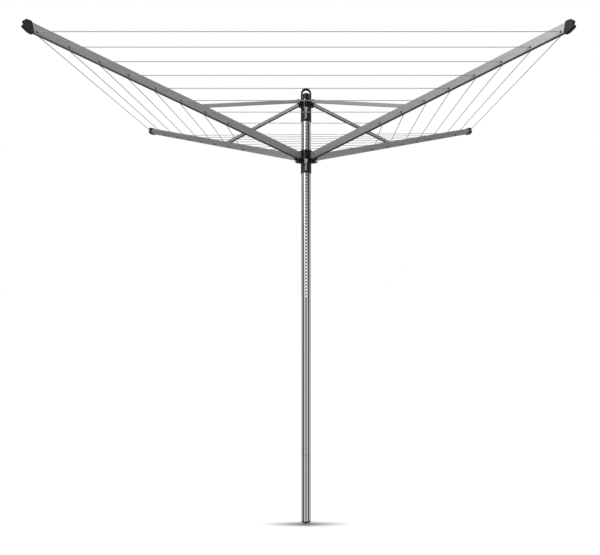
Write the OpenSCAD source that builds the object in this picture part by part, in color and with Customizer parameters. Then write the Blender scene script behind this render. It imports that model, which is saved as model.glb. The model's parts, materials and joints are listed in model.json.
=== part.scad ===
// Rotary clothesline with four folding arms, an umbrella linkage and two sliders that ride on a drilled pole.
// Millimetres. +Z is up, the origin is the centre of the foot's underside, and the rack faces -Y.

/* [Pole] */
// Outside diameter of the pole
pole_d = 48; // [44:1:49]
// Wall thickness of the pole
pole_wall = 1.6; // [1.2:0.1:2.4]
// Height of the pole tube's upper end
pole_top_z = 2166; // [2160:1:2190]
// Height of the depth mark, which the ground socket's rim reaches
socket_depth = 350; // [250:5:420]
// Distance between two holes of the rack
rack_pitch = 16.5; // [16.5:0.5:16.5]
// Number of holes in the rack
rack_holes = 59; // [30:1:60]
// Diameter of the rack's holes
rack_hole_d = 8.8; // [7.6:0.1:9.4]

/* [Arms] */
// Number of rows of line, which is the number of holes along each arm
rows = 8; // [4:1:9]
// Distance from the pole's axis to the far end of an arm's cap
reach = 1468.5; // [1463.5:0.5:1473.5]
// Slope of an arm above the horizontal when the clothesline is open
arm_tilt = 13.3; // [13:0.1:13.6]
// Height of an arm's channel section
arm_h = 35; // [34:1:36]
// Width of an arm's channel section
arm_w = 20; // [20:0.5:22]
// Wall thickness of the arm channel
arm_wall = 1.5; // [1.2:0.1:1.6]
// Distance along an arm between two holes for the line
hole_pitch = 134; // [120:1:134]
// Diameter of the line
line_d = 3; // [2.5:0.1:3.2]

/* [Linkage] */
// Distance from the pole's axis to every hub hinge
hinge_r = 57; // [56.5:0.5:57.5]
// Height of the arms' hinges on the lower hub
lower_hinge_z = 1887; // [1886:0.5:1888]
// Height of the struts' hinges on the upper hub
upper_hinge_z = 2153; // [2152.5:0.5:2154]
// Distance from the pole's axis to the pivots between struts and arms
mid_pivot_r = 690; // [688:1:692]
// Height of a strut's channel section
strut_h = 16; // [15:0.5:16]
// Width of a strut's channel section
strut_w = 14; // [13.5:0.5:14]

/* [Sliders] */
// Height of the upper slider's collar line
upper_slider_z = 2128; // [2127:1:2129]
// Number of rack pitches between the two sliders when the clothesline is open
slider_gap_pitches = 16; // [16:1:16]
// Outside diameter of a slider's sleeve
sleeve_d = 53.6; // [53:0.2:54]
// Length of a slider's sleeve
sleeve_len = 75; // [74:1:78]

/* [Hidden] */
$fn = 64;
cut = 1;               // how far a cutting solid runs past the surface it opens
running = 0.08;        // radial clearance of a pin that turns
slide_gap = 0.4;       // radial clearance of a slider on the pole
pole_r = pole_d / 2;
bore_r = pole_r - pole_wall;

// Foot: a plug that stays still in the ground socket while the pole turns on its spigot
foot_flange_h = 8;
spigot_r = 12;
spigot_top = 60;
tube_z0 = foot_flange_h + 2.4;
bush_gap = 0.2;

// Pole details
flute_w = 6.5;
flute_depth = 1;
flute_angles = [-33, 33, 147, 213];
mark_w = 1.2;
mark_depth = 0.25;

// Hubs
hub_r = sleeve_d / 2;
root_r = pole_r + 0.8;        // where the tongues and saddles start, inside the barrel's wall
tongue_w = 16.2;
tongue_r = 9;
small_tongue_w = 10.6;
small_tongue_r = 7;
arm_pin_r = 3;
strut_pin_r = 2.5;
upper_hub_h = 38;
lower_hub_h = 43;
lower_slider_z = upper_slider_z - rack_pitch * slider_gap_pitches;

// Release lever, measured from its slider's collar line
lever_top = -4;
lever_pivot = [-31, -24];     // y, z of its pin
lever_end = -64;
lever_head_w = 18;
lever_stem_w = 8;
lever_pin_r = 1.5;
pawl_z = -12;
pawl_r = 3.6;
spring_z = -50;
ear_w = 4;

// Arms, in the arm's own frame: x runs along the arm from the hub hinge, z is square to it
pivot_rise = 11;              // the hinge lies this far above the channel's centre line
hole_drop = 9.5;              // the holes lie this far below the centre line
cap_reach = 39.5;
arm_end = (reach - cap_reach - hinge_r) / cos(arm_tilt);
first_hole = arm_end - 15;
mid_z = -pivot_rise;
eyelet_r = 3;
line_r = line_d / 2;
line_out = 2.5;               // the line runs straight for this far outside the channel's wall
span_gap = 0.3;               // between the two halves of a span, which belong to different arms

// Linkage: strut and arm are equal between their pivots, so the lower hub stays on the pole's axis
mid_pivot_z = (upper_hinge_z + lower_hinge_z) / 2;
link = norm([mid_pivot_r - hinge_r, mid_pivot_z - lower_hinge_z]);
link_tilt = atan2(mid_pivot_z - lower_hinge_z, mid_pivot_r - hinge_r);
mid_pivot = [link * cos(arm_tilt - link_tilt), -link * sin(arm_tilt - link_tilt)];
strut_drop = 4;               // the strut's centre line passes this far below its hub pivot
strut_lift = 2;               // and this far above its arm pivot
strut_wall = 1.4;

function azimuth(k) = 90 * k - 45;
function hole_x(row) = first_hole - hole_pitch * (row - 1);

// Arms and struts stand in planes through the pole's axis
module in_plane(k) {
    rotate([0, 0, azimuth(k)]) children();
}

module in_arm(k) {
    in_plane(k) translate([hinge_r, 0, lower_hinge_z]) rotate([0, -arm_tilt, 0]) children();
}

module in_strut(k) {
    in_plane(k) translate([hinge_r, 0, upper_hinge_z]) rotate([0, link_tilt, 0]) children();
}

// Extrudes an outline drawn in x and z to a width centred on the plane
module slab(w) {
    rotate([90, 0, 0]) linear_extrude(height = w, center = true) children();
}

// A cylinder across the plane, centred on it
module cross_pin(x, z, r, w) {
    translate([x, 0, z]) rotate([90, 0, 0]) cylinder(r = r, h = w, center = true);
}

// ---------------------------------------------------------------- foot
module foot_plug() {
    color([0.12, 0.12, 0.13]) {
        cylinder(r1 = pole_r - 6.5, r2 = pole_r - 0.5, h = 4);
        translate([0, 0, 4]) cylinder(r = pole_r - 0.5, h = foot_flange_h - 4);
        difference() {
            translate([0, 0, foot_flange_h]) cylinder(r = spigot_r, h = spigot_top - foot_flange_h);
            translate([0, 0, spigot_top - 25]) cylinder(r = 3, h = 25 + cut);
        }
    }
}

module foot_bush() {
    color([0.2, 0.2, 0.21]) difference() {
        union() {
            translate([0, 0, foot_flange_h + bush_gap]) cylinder(r = pole_r - 0.2, h = tube_z0 - foot_flange_h - bush_gap);
            translate([0, 0, tube_z0]) cylinder(r = bore_r, h = spigot_top - 0.4 - tube_z0);
        }
        cylinder(r = spigot_r + running, h = spigot_top + cut);
    }
}

module foot_washer() {
    color([0.7, 0.7, 0.72]) translate([0, 0, spigot_top]) difference() {
        cylinder(r = 16, h = 2);
        translate([0, 0, -cut]) cylinder(r = 3.3, h = 2 + 2 * cut);
    }
}

module foot_screw() {
    color([0.7, 0.7, 0.72]) difference() {
        union() {
            translate([0, 0, spigot_top - 20]) cylinder(r = 3, h = 22);
            translate([0, 0, spigot_top + 2]) cylinder(r = 5.5, h = 4);
        }
        translate([0, 0, spigot_top + 4]) cylinder(r = 2.9, h = 3, $fn = 6);
    }
}

// ---------------------------------------------------------------- pole
module pole_tube() {
    color([0.78, 0.79, 0.8]) difference() {
        translate([0, 0, tube_z0]) cylinder(r = pole_r, h = pole_top_z - tube_z0);
        translate([0, 0, tube_z0 - cut]) cylinder(r = bore_r, h = pole_top_z - tube_z0 + 2 * cut);
        for (a = flute_angles)
            rotate([0, 0, a - 90]) translate([pole_r - flute_depth, -flute_w / 2, tube_z0 - cut])
                cube([5, flute_w, pole_top_z - tube_z0 + 2 * cut]);
        for (i = [0 : rack_holes - 1])
            cross_pin(0, upper_slider_z + pawl_z - rack_pitch * i, rack_hole_d / 2, 3 * pole_r);
        translate([0, 0, socket_depth]) difference() {
            cylinder(r = pole_r + cut, h = mark_w);
            translate([0, 0, -cut]) cylinder(r = pole_r - mark_depth, h = mark_w + 2 * cut);
        }
    }
}

cap_flange_r = 26.5;
cap_flange_h = 5;
cap_barrel_r = 17;
loop_centre_z = pole_top_z + 31;
loop_out_r = 26.5;
loop_point = 4.3;        // how far the two arcs of its outline stand off the middle
loop_in_r = 17.5;
loop_w = 11;
loop_seat = 3;

module top_cap() {
    color([0.08, 0.08, 0.09]) difference() {
        union() {
            translate([0, 0, pole_top_z - 40]) cylinder(r = bore_r, h = 40);
            translate([0, 0, pole_top_z]) cylinder(r = cap_flange_r, h = cap_flange_h);
            translate([0, 0, pole_top_z + cap_flange_h]) cylinder(r = cap_barrel_r, h = 24);
            translate([0, 0, pole_top_z + cap_flange_h + 24]) cylinder(r1 = cap_barrel_r, r2 = 12, h = 4);
        }
        for (z = [9, 16])
            translate([0, 0, pole_top_z + cap_flange_h + z - 7]) difference() {
                cylinder(r = cap_barrel_r + cut, h = 3);
                translate([0, 0, -cut]) cylinder(r = cap_barrel_r - 1.6, h = 3 + 2 * cut);
            }
        translate([0, 0, pole_top_z - 41]) cylinder(r = bore_r - 3, h = 36);
        for (side = [-1, 1])
            translate([side * (loop_in_r + loop_out_r) / 2, 0, pole_top_z + cap_flange_h - loop_seat / 2 + cut / 2])
                cube([loop_out_r - loop_in_r + 0.01, loop_w, loop_seat + cut], center = true);
    }
}

module hanging_loop() {
    leg_z = pole_top_z + cap_flange_h - loop_seat;
    color([0.06, 0.06, 0.07]) rotate([90, 0, 0]) linear_extrude(height = loop_w, center = true) {
        for (side = [-1, 1])
            translate([side * (loop_in_r + loop_out_r) / 2, (leg_z + loop_centre_z) / 2])
                square([loop_out_r - loop_in_r, loop_centre_z - leg_z], center = true);
        difference() {
            intersection() {
                translate([loop_point, loop_centre_z]) circle(r = loop_out_r + loop_point);
                translate([-loop_point, loop_centre_z]) circle(r = loop_out_r + loop_point);
            }
            translate([0, loop_centre_z]) circle(r = loop_in_r);
            translate([-loop_out_r - cut, loop_centre_z - 2 * loop_out_r])
                square([2 * (loop_out_r + cut), 2 * loop_out_r]);
        }
    }
}

// ---------------------------------------------------------------- sliders
// Every slider part is drawn with the collar line at z = 0
module slider_sleeve() {
    translate([0, 0, -sleeve_len]) cylinder(r = hub_r + 1, h = 4);
    translate([0, 0, -sleeve_len + 4]) cylinder(r = hub_r, h = sleeve_len - 4);
    for (side = [-1, 1])
        translate([side * (lever_head_w / 2 + 0.5 + ear_w / 2), (lever_pivot[0] - 5 - 18) / 2, lever_pivot[1] + 1])
            cube([ear_w, -lever_pivot[0] + 5 - 18, 24], center = true);
}

module slider_cuts(top) {
    translate([0, 0, -sleeve_len - cut]) cylinder(r = pole_r + slide_gap, h = sleeve_len + top + 2 * cut);
    translate([-pawl_r - 1, -hub_r - 3, pawl_z - 6]) cube([2 * pawl_r + 2, 10, 12]);
    translate([0, lever_pivot[0], lever_pivot[1]]) rotate([0, 90, 0]) cylinder(r = lever_pin_r, h = 60, center = true);
}

// A tongue that reaches from the barrel to a hinge at height z
module tongue(z, r, w) {
    slab(w) {
        translate([root_r, z - r]) square([hinge_r - root_r, 2 * r]);
        translate([hinge_r, z]) circle(r = r);
    }
}

// The saddle under an arm's end, which cups the arm when it is open
module saddle(z) {
    slab(tongue_w + 1) translate([hinge_r, z]) polygon([
        [root_r - hinge_r, -45], [-17, -44], [2, -41], [13, -36.5], [20, -30.5],
        [20, -26.6], [6, -29.8], [-3, -29.4], [-11, -24.5], [root_r - hinge_r, -24.5]
    ]);
}

module upper_hub() {
    hinge_z = upper_hinge_z - upper_slider_z;
    color([0.06, 0.06, 0.07]) translate([0, 0, upper_slider_z]) difference() {
        union() {
            slider_sleeve();
            cylinder(r = hub_r, h = upper_hub_h - 2.6);
            translate([0, 0, 10]) cylinder(r = hub_r + 1.6, h = 3);
            for (k = [1 : 4]) in_plane(k) {
                tongue(hinge_z, small_tongue_r, small_tongue_w);
                slab(small_tongue_w) translate([hinge_r, hinge_z]) polygon([
                    [root_r - hinge_r, -24], [-12, -22], [-4, -16], [-3, -4], [root_r - hinge_r, -4]
                ]);
            }
        }
        slider_cuts(upper_hub_h);
        for (k = [1 : 4]) in_plane(k) cross_pin(hinge_r, hinge_z, strut_pin_r, tongue_w);
    }
}

module lower_hub() {
    hinge_z = lower_hinge_z - lower_slider_z;
    color([0.06, 0.06, 0.07]) translate([0, 0, lower_slider_z]) difference() {
        union() {
            slider_sleeve();
            cylinder(r = hub_r - 0.6, h = lower_hub_h - 7);
            translate([0, 0, lower_hub_h - 7]) cylinder(r = hub_r + 2.2, h = 7);
            for (k = [1 : 4]) in_plane(k) {
                tongue(hinge_z, tongue_r, tongue_w);
                saddle(hinge_z);
            }
        }
        slider_cuts(lower_hub_h);
        for (k = [1 : 4]) in_plane(k) cross_pin(hinge_r, hinge_z, arm_pin_r, tongue_w + 4);
    }
}

// A pin with a flat head outside each side of what it joins
module headed_pin(x, z, r, w, head_r, head_h) {
    cross_pin(x, z, r, w);
    for (side = [-1, 1])
        translate([0, side * (w + head_h) / 2, 0]) cross_pin(x, z, head_r, head_h);
}

module upper_hinge_pins() {
    color([0.75, 0.76, 0.77]) for (k = [1 : 4])
        in_plane(k) headed_pin(hinge_r, upper_hinge_z, strut_pin_r, strut_w + 0.6, 3.9, 1.4);
}

module lower_hinge_pins() {
    color([0.75, 0.76, 0.77]) for (k = [1 : 4])
        in_plane(k) headed_pin(hinge_r, lower_hinge_z, arm_pin_r, arm_w + 0.6, 5, 1.6);
}

// The lever's side outline: an upright head in front of the pawl, and a stem that stands off the sleeve
module lever_side() {
    polygon([
        [-27.4, lever_top], [-27.4, -18], [-28.2, -24], [-34.2, lever_end],
        [-38.2, lever_end], [-34.6, -24], [-34.2, -18], [-31.5, lever_top]
    ]);
}

module lever_front() {
    polygon([
        [-lever_head_w / 2, lever_top], [lever_head_w / 2, lever_top],
        [lever_head_w / 2, -20], [lever_stem_w / 2, -31], [lever_stem_w / 2, lever_end],
        [-lever_stem_w / 2, lever_end], [-lever_stem_w / 2, -31], [-lever_head_w / 2, -20]
    ]);
}

module lever() {
    color([0.62, 0.63, 0.64]) difference() {
        intersection() {
            rotate([90, 0, 90]) linear_extrude(height = 40, center = true) lever_side();
            translate([0, -20, 0]) rotate([90, 0, 0]) linear_extrude(height = 30) lever_front();
        }
        translate([0, lever_pivot[0], lever_pivot[1]])
            rotate([0, 90, 0]) cylinder(r = lever_pin_r + running, h = 60, center = true);
    }
}

module pawl() {
    tip = -(pole_r + 0.35);
    color([0.55, 0.56, 0.58]) translate([0, tip, pawl_z]) rotate([90, 0, 0]) cylinder(r = pawl_r, h = 27.4 + tip);
}

module lever_pin() {
    color([0.75, 0.76, 0.77]) translate([0, lever_pivot[0], lever_pivot[1]])
        rotate([0, 90, 0]) cylinder(r = lever_pin_r, h = lever_head_w + 1 + 2 * ear_w, center = true);
}

// A tube swept along points, with rings square to the path
function unit(v) = v / norm(v);
function heading(p, i) = unit(p[min(i + 1, len(p) - 1)] - p[max(i - 1, 0)]);
function ring(p, i, r, sides, up) =
    let (t = heading(p, i), a = unit(cross(up, t)), b = cross(t, a))
    [for (s = [0 : sides - 1]) p[i] + r * (cos(360 * s / sides) * a + sin(360 * s / sides) * b)];
module swept_tube(p, r, sides, up) {
    n = len(p);
    points = [for (i = [0 : n - 1]) each ring(p, i, r, sides, up)];
    walls = [for (i = [0 : n - 2]) for (s = [0 : sides - 1])
        [i * sides + s, (i + 1) * sides + s, (i + 1) * sides + (s + 1) % sides, i * sides + (s + 1) % sides]];
    ends = [[for (s = [0 : sides - 1]) s], [for (s = [sides - 1 : -1 : 0]) (n - 1) * sides + s]];
    polyhedron(points = points, faces = concat(walls, ends));
}

spring_r = 3;
spring_wire_r = 0.45;
spring_turns = 3.5;
module spring() {
    steps = 12;
    y0 = -hub_r - 0.6;
    y1 = -31.4;
    n = spring_turns * steps;
    path = [for (i = [0 : n])
        [spring_r * cos(360 * i / steps), y0 + (y1 - y0) * i / n, spring_z + spring_r * sin(360 * i / steps)]];
    color([0.7, 0.71, 0.72]) swept_tube(path, spring_wire_r, 6, [0, 1, 0]);
}

module on_upper() {
    translate([0, 0, upper_slider_z]) children();
}

module on_lower() {
    translate([0, 0, lower_slider_z]) children();
}

// ---------------------------------------------------------------- struts
// A channel that is open below, with its top wall cut back at both hinges
module strut(k) {
    near = [0, -strut_drop];
    far = [link, strut_lift];
    tilt = atan2(strut_drop + strut_lift, link);
    half = strut_h / 2;
    flank = half - 0.02;      // the straight sides lie just inside the round ends, so they meet at a clean edge
    color([0.72, 0.73, 0.74]) in_strut(k) difference() {
        slab(strut_w) {
            translate(near) circle(r = half);
            translate(far) circle(r = half);
            translate(near) rotate(tilt) translate([0, -flank]) square([norm(far - near), 2 * flank]);
        }
        slab(strut_w - 2 * strut_wall) translate(near) rotate(tilt)
            translate([-half - cut, -half - cut]) square([link + 2 * half + 2 * cut, 2 * half - strut_wall + cut]);
        slab(strut_w - 2 * strut_wall) {
            translate([-half - cut, -2 * half]) square([half + cut + 13, 4 * half]);
            translate([link - 6, -2 * half]) square([3 * half, 4 * half]);
        }
        cross_pin(0, 0, strut_pin_r + running, 2 * strut_w);
        cross_pin(link, 0, strut_pin_r + running, 2 * strut_w);
    }
}

// ---------------------------------------------------------------- arms
module arm(k) {
    half = arm_h / 2;
    stub = 15;                // how far the channel runs into its cap
    inner_w = arm_w - 2 * arm_wall;
    color([0.66, 0.67, 0.68]) in_arm(k) difference() {
        slab(arm_w) {
            translate([0, mid_z]) circle(r = half);
            translate([0, mid_z - half]) square([arm_end + stub, arm_h]);
        }
        slab(inner_w) translate([-half - cut, mid_z - half + arm_wall])
            square([arm_end + stub + half + 2 * cut, arm_h]);
        slab(inner_w) translate([-half - cut, mid_z - half - cut]) square([half + cut + 4, arm_h]);
        cross_pin(0, 0, arm_pin_r + running, 2 * arm_w);
        cross_pin(mid_pivot[0], mid_pivot[1], strut_pin_r, 2 * arm_w);
        for (row = [1 : rows]) cross_pin(hole_x(row), mid_z - hole_drop, eyelet_r, 2 * arm_w);
    }
}

cap_w = 24;
module arm_cap(k) {
    color([0.05, 0.05, 0.06]) in_arm(k) translate([arm_end, 0, mid_z]) difference() {
        slab(cap_w) difference() {
            union() {
                polygon([
                    [-6, -19.4], [-4, -22], [2, -22.6], [14, -20.8], [24, -17], [33, -13.2],
                    [34, 17.6], [29, 19.8], [16, 21], [11.5, 19.4]
                ]);
                translate([30.5, -6]) circle(r = 8);
                translate([31.5, 11]) circle(r = 8);
            }
            translate([43, 2.6]) circle(r = 7);
        }
        slab(arm_w + 0.2) translate([-20, -arm_h / 2 - 0.1]) square([35.5, arm_h + 0.2]);
        slab(6) difference() {
            translate([25, -30]) square([20, 60]);
            translate([25, 2.5]) scale([0.75, 1]) circle(r = 15);
        }
    }
}

module arm_rivet(k) {
    color([0.8, 0.81, 0.82]) in_arm(k) headed_pin(mid_pivot[0], mid_pivot[1], strut_pin_r, arm_w, 4.5, 1.4);
}

module arm_washers(k) {
    inner = arm_w / 2 - arm_wall;
    t = inner - strut_w / 2 - 0.3;
    color([0.15, 0.15, 0.16]) in_arm(k) for (side = [-1, 1])
        translate([mid_pivot[0], side * (inner - t / 2), mid_pivot[1]]) rotate([90, 0, 0]) difference() {
            cylinder(r = 5, h = t, center = true);
            cylinder(r = strut_pin_r, h = 3 * t, center = true);
        }
}

// Plastic eyelets that line the holes on both sides of an arm
module arm_eyelets(k) {
    bore = line_r + 0.35;
    flange_r = 4.6;
    flange_h = 0.9;
    color([0.1, 0.1, 0.11]) in_arm(k) for (row = [1 : rows]) for (side = [-1, 1])
        translate([hole_x(row), side * (arm_w / 2 - arm_wall), mid_z - hole_drop])
            rotate([side * -90, 0, 0]) difference() {
                union() {
                    cylinder(r = eyelet_r, h = arm_wall);
                    translate([0, 0, arm_wall]) cylinder(r = flange_r, h = flange_h);
                }
                translate([0, 0, -cut]) cylinder(r = bore, h = 6);
            }
}

// ---------------------------------------------------------------- line
// One line winds round the four arms as a spiral, and steps out by one row on the side between arms 1 and 2.
// Each arm carries the half of every span that starts at it.
function spun(p, a) = [p[0] * cos(a) - p[1] * sin(a), p[0] * sin(a) + p[1] * cos(a), p[2]];
function arm_point(k, x, y, z) = spun([
    hinge_r + x * cos(arm_tilt) - z * sin(arm_tilt), y, lower_hinge_z + x * sin(arm_tilt) + z * cos(arm_tilt)
], azimuth(k));
function bend(k, row, side) = arm_point(k, hole_x(row), side * (arm_w / 2 + line_out), mid_z - hole_drop);
function next_arm(k, side) = (k + side + 3) % 4 + 1;
function next_row(k, row, side) = k == 1 && side > 0 ? row + 1 : k == 2 && side < 0 ? row - 1 : row;
function span_mid(k, row, side) =
    let (b = bend(k, row, side), far = bend(next_arm(k, side), next_row(k, row, side), -side))
    (b + far) / 2 - span_gap / 2 * unit(far - b);
function ends_here(k, row, side) = next_row(k, row, side) < 1 || next_row(k, row, side) > rows;
// Points from one side of the arm outwards: the bend is rounded by a curve of three points
function half_span(k, row, side) =
    let (b = bend(k, row, side), m = span_mid(k, row, side), i = arm_point(k, hole_x(row), 0, mid_z - hole_drop),
        u = unit(m - b), w = unit(b - i))
    ends_here(k, row, side) ? [b - 1 * w, b + 2 * w] : [b - 1.2 * w, b + 0.5 * (u - w), b + 1.2 * u, m];
function reversed(p) = [for (i = [len(p) - 1 : -1 : 0]) p[i]];

module line(k) {
    color([0.9, 0.9, 0.9]) for (row = [1 : rows]) {
        swept_tube(concat(reversed(half_span(k, row, -1)), half_span(k, row, 1)), line_r, 8, [0, 0, 1]);
        for (side = [-1, 1])
            if (ends_here(k, row, side))
                in_arm(k) translate([hole_x(row), side * (arm_w / 2 + line_out + 2.2), mid_z - hole_drop])
                    sphere(r = 3.4, $fn = 24);
    }
}

foot_plug();
foot_bush();
foot_washer();
foot_screw();
pole_tube();
top_cap();
hanging_loop();
upper_hub();
upper_hinge_pins();
on_upper() lever();  // upper_lever
on_upper() pawl();  // upper_pawl
on_upper() lever_pin();  // upper_lever_pin
on_upper() spring();  // upper_spring
lower_hub();
lower_hinge_pins();
on_lower() lever();  // lower_lever
on_lower() pawl();  // lower_pawl
on_lower() lever_pin();  // lower_lever_pin
on_lower() spring();  // lower_spring
for (k = [1 : 4]) {
    strut(k);
    arm(k);
    arm_cap(k);
    arm_rivet(k);
    arm_washers(k);
    arm_eyelets(k);
    line(k);
}
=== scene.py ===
"""Looks of the rotary clothesline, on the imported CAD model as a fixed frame."""
import json
import math

import bpy
import bmesh
from mathutils import Matrix, Vector


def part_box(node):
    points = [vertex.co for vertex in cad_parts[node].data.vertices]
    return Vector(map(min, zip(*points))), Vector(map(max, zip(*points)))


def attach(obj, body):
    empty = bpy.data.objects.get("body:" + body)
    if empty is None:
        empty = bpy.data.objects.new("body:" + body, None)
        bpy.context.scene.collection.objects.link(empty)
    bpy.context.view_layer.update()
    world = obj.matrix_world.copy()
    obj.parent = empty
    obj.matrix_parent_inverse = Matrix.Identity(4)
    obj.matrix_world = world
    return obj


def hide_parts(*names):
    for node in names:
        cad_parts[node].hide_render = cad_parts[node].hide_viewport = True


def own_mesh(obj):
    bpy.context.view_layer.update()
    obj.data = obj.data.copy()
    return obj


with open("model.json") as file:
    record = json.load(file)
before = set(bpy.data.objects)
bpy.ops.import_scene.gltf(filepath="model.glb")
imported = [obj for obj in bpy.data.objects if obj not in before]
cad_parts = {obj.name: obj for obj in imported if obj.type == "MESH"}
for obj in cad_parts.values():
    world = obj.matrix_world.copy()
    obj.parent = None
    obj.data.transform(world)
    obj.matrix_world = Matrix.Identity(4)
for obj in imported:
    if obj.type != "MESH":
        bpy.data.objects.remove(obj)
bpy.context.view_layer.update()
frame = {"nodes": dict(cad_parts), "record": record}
NODES = frame["nodes"]
ARMS = range(1, 5)
MM = 0.001

# ---------------------------------------------------------------- dimensions, as in part.scad, in millimetres
POLE_R = 24.0
ARM_TILT = math.radians(13.3)
HINGE_R = 57.0
LOWER_HINGE_Z = 1887.0
UPPER_HINGE_Z = 2153.0
MID_PIVOT_R = 690.0
PIVOT_RISE = 11.0
REACH = 1468.5
CAP_REACH = 39.5
ARM_W = 20.0
ROWS = 8
HOLE_PITCH = 134.0
HOLE_DROP = 9.5
LINE_R = 1.5
LINE_OUT = 2.5
ARM_END = (REACH - CAP_REACH - HINGE_R) / math.cos(ARM_TILT)
FIRST_HOLE = ARM_END - 15.0
FOLD_LIMIT = math.radians(74.0)
MID_PIVOT_Z = (LOWER_HINGE_Z + UPPER_HINGE_Z) / 2
LINK = math.hypot(MID_PIVOT_R - HINGE_R, MID_PIVOT_Z - LOWER_HINGE_Z)
LINK_TILT = math.atan2(MID_PIVOT_Z - LOWER_HINGE_Z, MID_PIVOT_R - HINGE_R)


def azimuth(k):
    """Arm k's direction round the pole."""
    return math.radians(90 * k - 45)


def outward(k):
    return Vector((math.cos(azimuth(k)), math.sin(azimuth(k)), 0))


def sideways(k):
    return Vector((-math.sin(azimuth(k)), math.cos(azimuth(k)), 0))


# ---------------------------------------------------------------- node helpers
def add_node(tree, kind, inputs=(), **settings):
    """Adds a node to a tree. Each input is a socket to link from or a value to set."""
    n = tree.nodes.new(kind)
    for key, value in settings.items():
        setattr(n, key, value)
    for key, value in dict(inputs).items():
        if isinstance(value, bpy.types.NodeSocket):
            tree.links.new(value, n.inputs[key])
        else:
            n.inputs[key].default_value = value
    return n


class Shader:
    """Builds one procedural material, node by node."""

    def __init__(self, name, **constants):
        self.material = bpy.data.materials.new(name)
        self.material.use_nodes = True
        self.tree = self.material.node_tree
        self.bsdf = self.tree.nodes["Principled BSDF"]
        for key, value in constants.items():
            self.bsdf.inputs[key.replace("_", " ")].default_value = value
        self.coords = self.tree.nodes.new("ShaderNodeTexCoord").outputs["Object"]

    def node(self, kind, inputs=(), **settings):
        return add_node(self.tree, kind, inputs, **settings)

    def scaled(self, scale):
        return self.node("ShaderNodeMapping", {"Vector": self.coords, "Scale": scale}).outputs["Vector"]

    def noise(self, scale, detail=2.0, rough=0.5, vector=None):
        return self.node(
            "ShaderNodeTexNoise",
            {"Vector": vector or self.coords, "Scale": scale, "Detail": detail, "Roughness": rough},
        ).outputs["Fac"]

    def span(self, value, low, high, out_low, out_high):
        return self.node(
            "ShaderNodeMapRange",
            {"Value": value, "From Min": low, "From Max": high, "To Min": out_low, "To Max": out_high},
        ).outputs["Result"]

    def math(self, operation, a, b=0.0):
        return self.node("ShaderNodeMath", {0: a, 1: b}, operation=operation).outputs[0]

    def dot(self, a, b):
        return self.node("ShaderNodeVectorMath", {0: a, 1: b}, operation="DOT_PRODUCT").outputs["Value"]

    def mix(self, factor, a, b):
        return self.node("ShaderNodeMix", {0: factor, 6: a, 7: b}, data_type="RGBA").outputs[2]

    def edges(self, radius):
        """1 on sharp outer edges and 0 on flat faces."""
        bevel = self.node("ShaderNodeBevel", {"Radius": radius}, samples=4).outputs["Normal"]
        true_normal = self.node("ShaderNodeNewGeometry").outputs["Normal"]
        return self.span(self.dot(bevel, true_normal), 0.98, 0.80, 0.0, 1.0)

    def bump(self, height, strength, distance):
        b = self.node("ShaderNodeBump", {"Height": height, "Strength": strength, "Distance": distance})
        self.to("Normal", b.outputs["Normal"])

    def to(self, socket, value):
        self.tree.links.new(value, self.bsdf.inputs[socket])


WHITE = (1, 1, 1, 1)


def rgb(r, g, b):
    return (r, g, b, 1.0)


def grey(v):
    """A neutral grey, very slightly cool."""
    return (v, v, v * 1.01, 1.0)


# ---------------------------------------------------------------- materials
DRAW_LINES = 900.0      # noise scale across an extrusion
DRAW_STRETCH = 0.004    # share of that scale along it
CLOUDING = 0.06         # how far an extrusion's tone wanders
BORE_PAINTED_GLOW = 0.75        # strength of the painted glow on the pole's inner wall, which makes its rack holes look lit


def extruded_metal(name, tone, rough, along, side):
    """Anodised extrusion: fine draw lines run along it, with faint clouding and duller handled spots."""
    s = Shader(name, Metallic=1.0)
    axes = (along * DRAW_STRETCH, side, along.cross(side))
    parts = {i: s.dot(s.coords, tuple(axis * DRAW_LINES)) for i, axis in enumerate(axes)}
    lines = s.noise(1.0, 2.0, 0.6, s.node("ShaderNodeCombineXYZ", parts).outputs[0])
    clouds = s.noise(6.0, 3.0, 0.55)
    smears = s.noise(38.0, 4.0, 0.6)
    s.to("Base Color", s.mix(clouds, grey(tone * (1 - CLOUDING)), grey(tone * (1 + CLOUDING))))
    base = s.span(lines, 0.3, 0.7, rough - 0.04, rough + 0.05)
    s.to("Roughness", s.math("ADD", base, s.span(smears, 0.5, 0.8, 0.0, 0.07)))
    s.bump(lines, 0.05, 0.0004)
    return s.material


def pole_metal():
    """Bright drawn tube: draw lines, grooves darkened with painted shade, a little rubbing where the sliders
    travel, and a painted glow inside the bore that makes the rack holes look lit.
    """
    s = Shader("pole_metal", Metallic=1.0, Emission_Color=WHITE)
    x, y, _ = s.node("ShaderNodeSeparateXYZ", {0: s.coords}).outputs
    radius = s.math("SQRT", s.math("ADD", s.math("MULTIPLY", x, x), s.math("MULTIPLY", y, y)))
    in_groove = s.span(radius, (POLE_R - 0.08) * MM, (POLE_R - 0.30) * MM, 0.0, 1.0)
    # Painted glow: the bore's inner wall emits light, so that the rack holes look lit.
    painted_bore_glow = s.span(radius, (POLE_R - 1.5) * MM, (POLE_R - 1.7) * MM, 0.0, BORE_PAINTED_GLOW)
    lines = s.noise(1.0, 2.0, 0.6, s.scaled((1400.0, 1400.0, 3.0)))
    clouds = s.noise(5.0, 3.0, 0.5, s.scaled((1.0, 1.0, 0.3)))
    rubbed = s.noise(1.0, 3.0, 0.6, s.scaled((260.0, 260.0, 14.0)))
    bright = s.mix(clouds, grey(0.80), grey(0.90))
    # Painted shade: the floors of the grooves are darkened to near black.
    s.to("Base Color", s.mix(in_groove, bright, grey(0.035)))
    base = s.span(lines, 0.3, 0.7, 0.13, 0.20)
    worn = s.math("ADD", base, s.span(rubbed, 0.52, 0.75, 0.0, 0.09))
    s.to("Roughness", s.math("ADD", worn, s.math("MULTIPLY", in_groove, 0.35)))
    s.bump(lines, 0.10, 0.0003)
    s.to("Emission Strength", painted_bore_glow)
    return s.material


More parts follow.
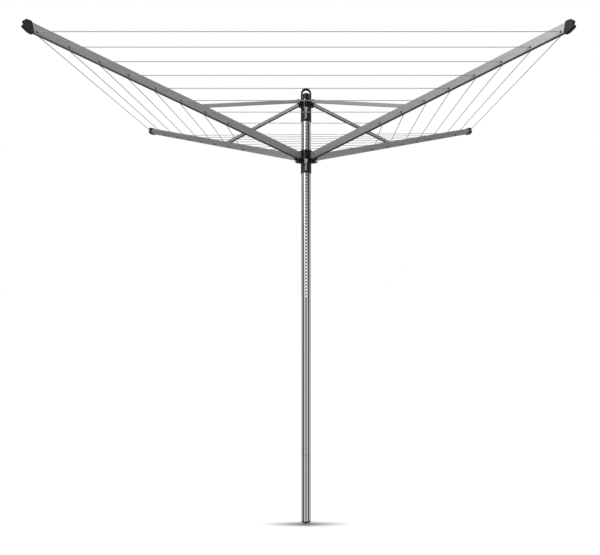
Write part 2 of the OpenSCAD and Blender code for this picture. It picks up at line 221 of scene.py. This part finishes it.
def moulded(name, tone, rough, grain, depth):
    """Injection-moulded plastic: fine spark-eroded grain, uneven gloss and edges that handling has polished."""
    s = Shader(name, Metallic=0.0)
    fine = s.noise(grain, 2.0, 0.55)
    broad = s.noise(22.0, 3.0, 0.6)
    edge = s.edges(0.0012)
    low, high, worn = (rgb(v, v, v) for v in (tone * 0.85, tone * 1.2, tone * 1.7 + 0.012))
    s.to("Base Color", s.mix(s.math("MULTIPLY", edge, 0.6), s.mix(broad, low, high), worn))
    base = s.span(broad, 0.3, 0.7, rough - 0.06, rough + 0.06)
    s.to("Roughness", s.math("SUBTRACT", base, s.math("MULTIPLY", edge, 0.1)))
    s.bump(fine, depth, 0.0002)
    return s.material


def zinc(name, tone, rough):
    """Zinc-plated steel: small crystalline mottling under a soft sheen."""
    s = Shader(name, Metallic=1.0)
    cells = s.node("ShaderNodeTexVoronoi", {"Vector": s.coords, "Scale": 420.0}).outputs["Color"]
    mottle = s.node("ShaderNodeSeparateColor", {0: cells}).outputs[0]
    s.to("Base Color", s.mix(mottle, grey(tone * 0.88), rgb(tone, tone, tone * 1.03)))
    s.to("Roughness", s.span(s.noise(300.0, 2.0), 0.3, 0.7, rough - 0.06, rough + 0.08))
    s.bump(s.noise(900.0, 2.0), 0.1, 0.0002)
    return s.material


def sheathed_line():
    """Smooth plastic sheath, a little uneven from the core below it, with grime in spots."""
    s = Shader("line_sheath", Metallic=0.0, Roughness=0.42, Specular_IOR_Level=0.45)
    patches = s.noise(9.0, 3.0, 0.6)
    grime = s.noise(160.0, 3.0, 0.6)
    clean = s.mix(patches, grey(0.64), grey(0.72))
    s.to("Base Color", s.mix(s.span(grime, 0.55, 0.8, 0.0, 0.35), clean, grey(0.50)))
    s.bump(s.noise(700.0, 1.0), 0.25, 0.0003)
    return s.material


MATERIALS = {
    "pole_metal": pole_metal(),
    "pin_metal": zinc("pin_metal", 0.55, 0.38),
    "steel": zinc("plated_steel", 0.62, 0.34),
    "black_plastic": moulded("black_plastic", 0.012, 0.30, 1700.0, 0.16),
    "cap_plastic": moulded("cap_plastic", 0.020, 0.38, 1300.0, 0.3),
    "foot_plastic": moulded("foot_plastic", 0.02, 0.5, 1200.0, 0.3),
    "lever_plastic": moulded("lever_plastic", 0.60, 0.42, 1500.0, 0.2),
    "line_plastic": sheathed_line(),
}


def in_plane(k, tilt):
    """Unit vector in arm k's plane, rising outwards by tilt."""
    return outward(k) * math.cos(tilt) + Vector((0, 0, math.sin(tilt)))


for k in ARMS:
    MATERIALS[f"arm_{k}"] = extruded_metal(f"arm_metal_{k}", 0.52, 0.38, in_plane(k, ARM_TILT), sideways(k))
    MATERIALS[f"strut_{k}"] = extruded_metal(f"strut_metal_{k}", 0.58, 0.34, in_plane(k, -LINK_TILT), sideways(k))


# ---------------------------------------------------------------- CAD nodes
WELD_WITHIN = 0.00001
SHARP_FROM = math.radians(28.0)


def soften(obj, width):
    """Joins the imported faces, rounds the sharp edges and shades the rest smooth, all with modifiers."""
    weld = obj.modifiers.new("weld", "WELD")
    weld.merge_threshold = WELD_WITHIN
    bevel = obj.modifiers.new("edges", "BEVEL")
    bevel.width = width
    bevel.segments = 2
    bevel.limit_method = "ANGLE"
    bevel.angle_limit = SHARP_FROM
    bevel.use_clamp_overlap = True
    bevel.miter_outer = "MITER_ARC"
    normals = obj.modifiers.new("normals", "WEIGHTED_NORMAL")
    normals.keep_sharp = True
    normals.weight = 60


def dress(obj, material):
    obj.data.materials.clear()
    obj.data.materials.append(material)


# Width of the rounded edges in metres, by node and then by family of nodes.
SOFT_EDGES = {
    "pole_tube": 0.0003, "top_cap": 0.0007, "hanging_loop": 0.0022, "upper_hub": 0.0008, "lower_hub": 0.0008,
    "upper_lever": 0.0009, "lower_lever": 0.0009, "foot_plug": 0.0010, "foot_bush": 0.0003,
    "upper_hinge_pins": 0.0005, "lower_hinge_pins": 0.0005,
}
SOFT_FAMILIES = {"arm_cap": 0.0016, "arm_rivet": 0.0005, "arm_eyelets": 0.0003, "arm": 0.0004, "strut": 0.0004}

for item in frame["record"]["subparts"]:
    name = item["node"]
    node = NODES[name]
    dress(node, MATERIALS[name if name in MATERIALS else item["material_slot"]])
    width = SOFT_EDGES.get(name) or SOFT_FAMILIES.get(name.rstrip("_1234"))
    if width:
        soften(node, width)


# ---------------------------------------------------------------- mesh helpers
def mesh_object(name, bm, material, smooth=True):
    """Makes an object of a bmesh. Caps, which have more than four corners, stay flat."""
    bmesh.ops.recalc_face_normals(bm, faces=bm.faces)
    mesh = bpy.data.meshes.new(name)
    bm.to_mesh(mesh)
    bm.free()
    for p in mesh.polygons:
        p.use_smooth = smooth and len(p.vertices) <= 4
    mesh.materials.append(material)
    obj = bpy.data.objects.new(name, mesh)
    bpy.context.scene.collection.objects.link(obj)
    return obj


def sweep(bm, points, radius, sides):
    """Adds a tube along points, with rings square to the path.

    The rims are sharp, so that the caps stay out of the wall's shading.
    """
    up = Vector((0, 0, 1))
    rings = []
    last = len(points) - 1
    for i, p in enumerate(points):
        t = (points[min(i + 1, last)] - points[max(i - 1, 0)]).normalized()
        a = up.cross(t).normalized()
        b = t.cross(a)
        up = b
        corners = (2 * math.pi * k / sides for k in range(sides))
        rings.append([bm.verts.new(p + radius * (math.cos(c) * a + math.sin(c) * b)) for c in corners])
    for r0, r1 in zip(rings, rings[1:]):
        for k in range(sides):
            bm.faces.new((r0[k], r0[(k + 1) % sides], r1[(k + 1) % sides], r1[k]))
    for cap in (rings[0][::-1], rings[-1]):
        for edge in bm.faces.new(cap).edges:
            edge.smooth = False


# ---------------------------------------------------------------- line
FOLD_DROP = 2 * LINK * (math.sin(LINK_TILT + FOLD_LIMIT) - math.sin(LINK_TILT))
HOLE_Z = -PIVOT_RISE - HOLE_DROP
HANG_R = 0.060          # folded lines meet this far from the pole's axis, measured in each arm's plane
HANG_SHARE = 0.50       # and hang this share of their half length below the holes
LEAST_KEEP = 0.02       # a folded half span keeps at least this share of its length
LINE_SIDES = 14
SPAN_STEPS = 12
BEND_SIZE = 0.0034      # reach of the curve between a hole and a span
STUB_IN = 0.0012        # the line's end at a knot, towards the arm and away from it
STUB_OUT = 0.0014
KNOT_OUT = 0.0020       # a knot is two turns of a thinner line, this far outside the bend
KNOT_R = 0.0021
KNOT_RISE = 0.0016
KNOT_LINE_R = 0.0014
KNOT_TILT = 0.35
KNOT_STEPS = 24


def on_arm(k, x, side, z, lift, drop):
    """A point in an arm's own frame, in metres. lift turns the arm up about its hinge, drop lowers the hinge."""
    c, s = math.cos(ARM_TILT + lift), math.sin(ARM_TILT + lift)
    r = HINGE_R + x * c - z * s
    h = LOWER_HINGE_Z - drop + x * s + z * c
    return (outward(k) * r + sideways(k) * side + Vector((0, 0, h))) * MM


def hole_x(row):
    return FIRST_HOLE - HOLE_PITCH * (row - 1)


def bend(k, row, side, folded=False):
    """Where the line leaves an arm and turns towards the next one."""
    lift, drop = (FOLD_LIMIT, FOLD_DROP) if folded else (0.0, 0.0)
    return on_arm(k, hole_x(row), side * (ARM_W / 2 + LINE_OUT), HOLE_Z, lift, drop)


def neighbour(k, row, side):
    """The arm and row that the span from this side goes to. The line steps out a row between arms 1 and 2."""
    other = (k + side + 3) % 4 + 1
    if k == 1 and side > 0:
        return other, row + 1
    if k == 2 and side < 0:
        return other, row - 1
    return other, row


def ends_here(k, row, side):
    return not 1 <= neighbour(k, row, side)[1] <= ROWS


def squash_towards(v, w):
    """The axis and the share to keep that take vector v to w, which lies inside the sphere on v."""
    change = v - w
    keep = 1 - change.length_squared / v.dot(change)
    return change.normalized(), min(max(keep, LEAST_KEEP), 1.0)


def folded_target(k, row, side):
    """The rest-frame vector that, once the arm is folded, puts a half span's far end where the two halves meet."""
    other, other_row = neighbour(k, row, side)
    start, far = bend(k, row, side, True), bend(other, other_row, -side, True)
    half = (bend(other, other_row, -side) - bend(k, row, side)).length / 2
    middle = (outward(k) + outward(other)) * HANG_R
    height = (start.z + far.z) / 2 - HANG_SHARE * half
    world = Vector((middle.x, middle.y, height)) - start
    return Matrix.Rotation(FOLD_LIMIT, 3, sideways(k)) @ world


def round_bend(k, row, side):
    """Points of the small curve between the hole and the span."""
    b = bend(k, row, side)
    inward = -side * sideways(k)
    if ends_here(k, row, side):
        return [b + inward * STUB_IN, b - inward * STUB_OUT]
    other, other_row = neighbour(k, row, side)
    u = (bend(other, other_row, -side) - b).normalized()
    p0, p2 = b + inward * BEND_SIZE, b + u * BEND_SIZE
    return [p0 * (1 - t) ** 2 + b * 2 * t * (1 - t) + p2 * t * t for t in (0, 0.2, 0.4, 0.6, 0.8, 1.0)]


def knot(bm, k, row, side):
    """Adds the knot that ends the line outside an arm."""
    centre = bend(k, row, side) + side * sideways(k) * KNOT_OUT
    place = Matrix.Translation(centre) @ Matrix.Rotation(KNOT_TILT, 4, "X")
    turns = [
        place @ Vector((KNOT_R * math.cos(a), KNOT_R * math.sin(a), KNOT_RISE * math.sin(1.5 * a)))
        for a in (2 * math.pi * i / KNOT_STEPS for i in range(2 * KNOT_STEPS))
    ]
    sweep(bm, turns, KNOT_LINE_R, 10)


def half_span(k, row, side):
    """The half of a span that its arm carries; it moves with the arm."""
    first = round_bend(k, row, side)[-1]
    other, other_row = neighbour(k, row, side)
    centre = (bend(k, row, side) + bend(other, other_row, -side)) / 2
    half = bmesh.new()
    points = [first.lerp(centre, i / SPAN_STEPS) for i in range(SPAN_STEPS + 1)]
    sweep(half, points, LINE_R * MM, LINE_SIDES)
    word = "left" if side > 0 else "right"
    piece = mesh_object(f"span_{k}_{row}_{word}", half, MATERIALS["line_plastic"])
    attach(piece, f"arm_{k}")
    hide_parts(f"line_{k}")
    axis, keep = squash_towards(centre - first, folded_target(k, row, side))
    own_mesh(piece)


for k in ARMS:
    through = bmesh.new()
    for row in range(1, ROWS + 1):
        sweep(through, round_bend(k, row, -1)[::-1] + round_bend(k, row, 1), LINE_R * MM, LINE_SIDES)
        for side in (-1, 1):
            if ends_here(k, row, side):
                knot(through, k, row, side)
            else:
                half_span(k, row, side)
    piece = mesh_object(f"line_in_arm_{k}", through, MATERIALS["line_plastic"])
    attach(piece, f"arm_{k}")
    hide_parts(f"line_{k}")


# ---------------------------------------------------------------- lever springs
COIL_WIRE_R = 0.00045
COIL_TURNS = 3.5
COIL_STEPS = 28


def spring(which):
    """A smooth coil in place of the CAD's faceted one, carried by its slider."""
    low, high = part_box(f"{which}_spring")
    centre = (low + high) / 2
    radius = (high.z - low.z) / 2 - COIL_WIRE_R
    count = int(COIL_TURNS * COIL_STEPS)
    y0, y1 = low.y + COIL_WIRE_R, high.y - COIL_WIRE_R
    points = [
        Vector((
            centre.x + radius * math.cos(2 * math.pi * i / COIL_STEPS),
            y1 + (y0 - y1) * i / count,
            centre.z + radius * math.sin(2 * math.pi * i / COIL_STEPS),
        ))
        for i in range(count + 1)
    ]
    bm = bmesh.new()
    sweep(bm, points, COIL_WIRE_R, 10)
    piece = mesh_object(f"{which}_coil", bm, MATERIALS["steel"])
    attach(piece, f"{which}_slider")
    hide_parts(f"{which}_spring")
    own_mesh(piece)


for which in ("upper", "lower"):
    spring(which)


# ---------------------------------------------------------------- floor, light and camera
SHADOW_REACH = 0.30     # the foot's shadow fades out this far to either side
SHADOW_Y = -0.030       # the middle of its band, and the band's half depth
SHADOW_DEPTH = 0.042
SHADOW_DARK = 0.88
FLOOR_GLOW = 0.92
LIGHT_AIM = Vector((0, 0, 1.5))


def floor():
    """A pale floor with a soft contact shadow painted into its colour and glow at the foot. It throws no light
    back, as in a cut-out studio shot.
    """
    bm = bmesh.new()
    bmesh.ops.create_circle(bm, cap_ends=True, segments=96, radius=60.0)
    s = Shader("studio_floor", Roughness=0.9, Specular_IOR_Level=0.0, Emission_Color=WHITE)
    x, y, _ = s.node("ShaderNodeSeparateXYZ", {0: s.coords}).outputs
    # Painted shadow: a soft band at the foot, fading out to either side, darkens the floor.
    aside = s.span(s.math("ABSOLUTE", x), 0.0, SHADOW_REACH, 1.0, 0.0)
    depth = s.math("MULTIPLY", s.math("ADD", y, -SHADOW_Y), 1 / SHADOW_DEPTH)
    band = s.math("EXPONENT", s.math("MULTIPLY", s.math("MULTIPLY", depth, depth), -1.0))
    shade = s.math("MULTIPLY", s.math("MULTIPLY", aside, band), SHADOW_DARK)
    light = s.math("SUBTRACT", 1.0, shade)
    s.to("Base Color", s.mix(shade, grey(0.90), grey(0.0)))
    s.to("Emission Strength", s.math("MULTIPLY", light, FLOOR_GLOW))
    obj = mesh_object("studio_floor", bm, s.material, smooth=False)
    obj.visible_glossy = False
    obj.visible_diffuse = False


def area_light(name, azimuth_deg, elevation_deg, distance, size, power):
    """An area light seen from the pole at that azimuth (0 is the front, positive to the right)."""
    data = bpy.data.lights.new(name, "AREA")
    data.shape = "RECTANGLE"
    data.size, data.size_y = size
    data.energy = power
    obj = bpy.data.objects.new(name, data)
    az, el = math.radians(azimuth_deg), math.radians(elevation_deg)
    obj.location = LIGHT_AIM + distance * Vector((
        math.sin(az) * math.cos(el), -math.cos(az) * math.cos(el), math.sin(el)
    ))
    obj.rotation_euler = (LIGHT_AIM - obj.location).to_track_quat("-Z", "Y").to_euler()
    bpy.context.scene.collection.objects.link(obj)
    obj.visible_camera = False


floor()
area_light("key", -35, 24, 4.6, (2.0, 2.6), 30)
area_light("top", 0, 88, 4.5, (5.0, 5.0), 16)

# Brightness of the studio round the object: (azimuth in degrees from the front to the right, brightness).
# One ring lies above the horizon and one below it.
STUDIO_HIGH = [
    (-180, 0.30), (-150, 0.10), (-125, 0.12), (-104, 0.28), (-88, 0.62), (-72, 0.82), (-60, 0.90), (-52, 1.30),
    (-30, 1.30), (-22, 0.10), (0, 0.06), (24, 0.08), (34, 0.20), (55, 0.46), (66, 0.80), (76, 0.52), (88, 0.40),
    (104, 0.22), (120, 0.42), (150, 0.42), (180, 0.30),
]
STUDIO_LOW = [
    (-180, 0.12), (-165, 0.12), (-140, 0.36), (-100, 0.38), (-80, 0.34), (-56, 0.60), (-50, 0.70), (-26, 0.70),
    (-19, 0.28), (20, 0.24), (26, 0.74), (46, 0.74), (60, 0.66), (70, 0.50), (82, 0.42), (90, 0.54), (110, 0.52),
    (120, 0.34), (140, 0.34), (165, 0.12), (180, 0.12),
]
# Its share by height: (sine of the elevation, share).
STUDIO_HEIGHT = [(-1.0, 0.25), (-0.60, 0.3), (-0.42, 0.55), (-0.32, 1.0), (0.45, 1.0), (0.8, 0.5), (1.0, 0.35)]


def studio():
    """The room round the object. The camera itself sees it as white."""
    world = bpy.data.worlds.new("studio")
    bpy.context.scene.world = world
    world.use_nodes = True
    tree = world.node_tree

    def node(kind, inputs=(), **settings):
        return add_node(tree, kind, inputs, **settings)

    def ramp(value, low, high, stops):
        unit = node("ShaderNodeMapRange", {"Value": value, "From Min": low, "From Max": high})
        n = node("ShaderNodeValToRGB", {"Fac": unit.outputs["Result"]})
        elements = n.color_ramp.elements
        for i, (at, v) in enumerate(stops):
            position = (at - low) / (high - low)
            e = elements[i] if i < 2 else elements.new(position)
            if i < 2:
                e.position = position
            e.color = (v, v, v, 1)
        return n.outputs["Color"]

    x, y, z = node("ShaderNodeSeparateXYZ", {0: node("ShaderNodeTexCoord").outputs["Generated"]}).outputs
    back = node("ShaderNodeMath", {0: y, 1: -1.0}, operation="MULTIPLY").outputs[0]
    azimuth_here = node("ShaderNodeMath", {0: x, 1: back}, operation="ARCTAN2").outputs[0]
    degrees = node("ShaderNodeMath", {0: azimuth_here, 1: 180 / math.pi}, operation="MULTIPLY").outputs[0]
    level = node("ShaderNodeMapRange", {"Value": z, "From Min": -0.02, "From Max": 0.12}).outputs["Result"]
    low, high = ramp(degrees, -180, 180, STUDIO_LOW), ramp(degrees, -180, 180, STUDIO_HIGH)
    walls = node("ShaderNodeMix", {0: level, 6: low, 7: high}, data_type="RGBA").outputs[2]
    share = ramp(z, -1, 1, STUDIO_HEIGHT)
    lit = node("ShaderNodeMix", {0: 1.0, 6: walls, 7: share}, data_type="RGBA", blend_type="MULTIPLY").outputs[2]
    camera_ray = node("ShaderNodeLightPath").outputs["Is Camera Ray"]
    pick = node("ShaderNodeMix", {0: camera_ray, 6: lit, 7: WHITE}, data_type="RGBA").outputs[2]
    tree.links.new(pick, tree.nodes["Background"].inputs["Color"])


studio()

# The camera looks level, so uprights stay upright.
camera_data = bpy.data.cameras.new("camera")
camera = bpy.data.objects.new("camera", camera_data)
bpy.context.scene.collection.objects.link(camera)
bpy.context.scene.camera = camera
camera.location = (0.1055, -3.9133, 1.246)
camera.rotation_euler = (math.radians(90), 0, 0)
camera_data.sensor_width = 36
camera_data.lens = 45.774
camera_data.shift_x = -0.0444
camera_data.shift_y = 0.003

bpy.context.scene.view_settings.view_transform = "Standard"
